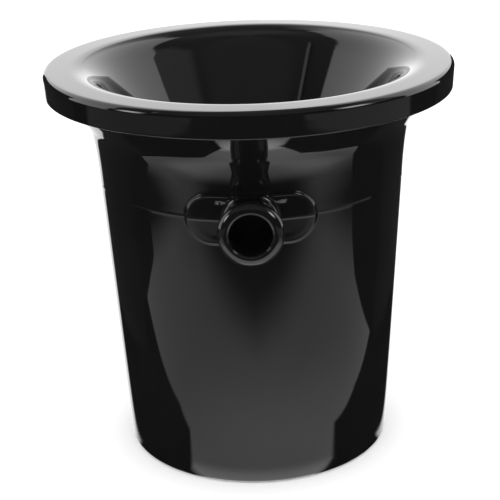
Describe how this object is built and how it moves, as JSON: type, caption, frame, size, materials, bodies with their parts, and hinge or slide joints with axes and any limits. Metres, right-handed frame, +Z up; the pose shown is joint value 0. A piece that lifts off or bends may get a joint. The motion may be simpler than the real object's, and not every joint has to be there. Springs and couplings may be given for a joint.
{
  "type": "tabletop bucket with drain funnel lid",
  "caption": "Tapered plastic bucket with a hollow knob on each side and a loose funnel whose wide skirted rim rests on the bucket's flange and drains into it.",
  "frame": {"origin": "centre of the foot ring's underside, on the bucket's axis", "axes": "+Z up along the bucket's axis, knobs at -Y and +Y, -Y being the side seen as the front"},
  "size_m": [0.26, 0.26, 0.2566],
  "materials": {
    "black_plastic": "moulded gloss black",
    "funnel_plastic": "moulded gloss black"
  },
  "bodies": {
    "bucket": {"bucket": "black_plastic", "front_knob": "black_plastic", "back_knob": "black_plastic"},
    "funnel": {"funnel": "funnel_plastic"}
  },
  "joints": [
    {"name": "funnel_lift", "type": "slide", "parent": "bucket", "child": "funnel", "axis": [0, 0, 1], "range_m": [0, 0.16]}
  ]
}
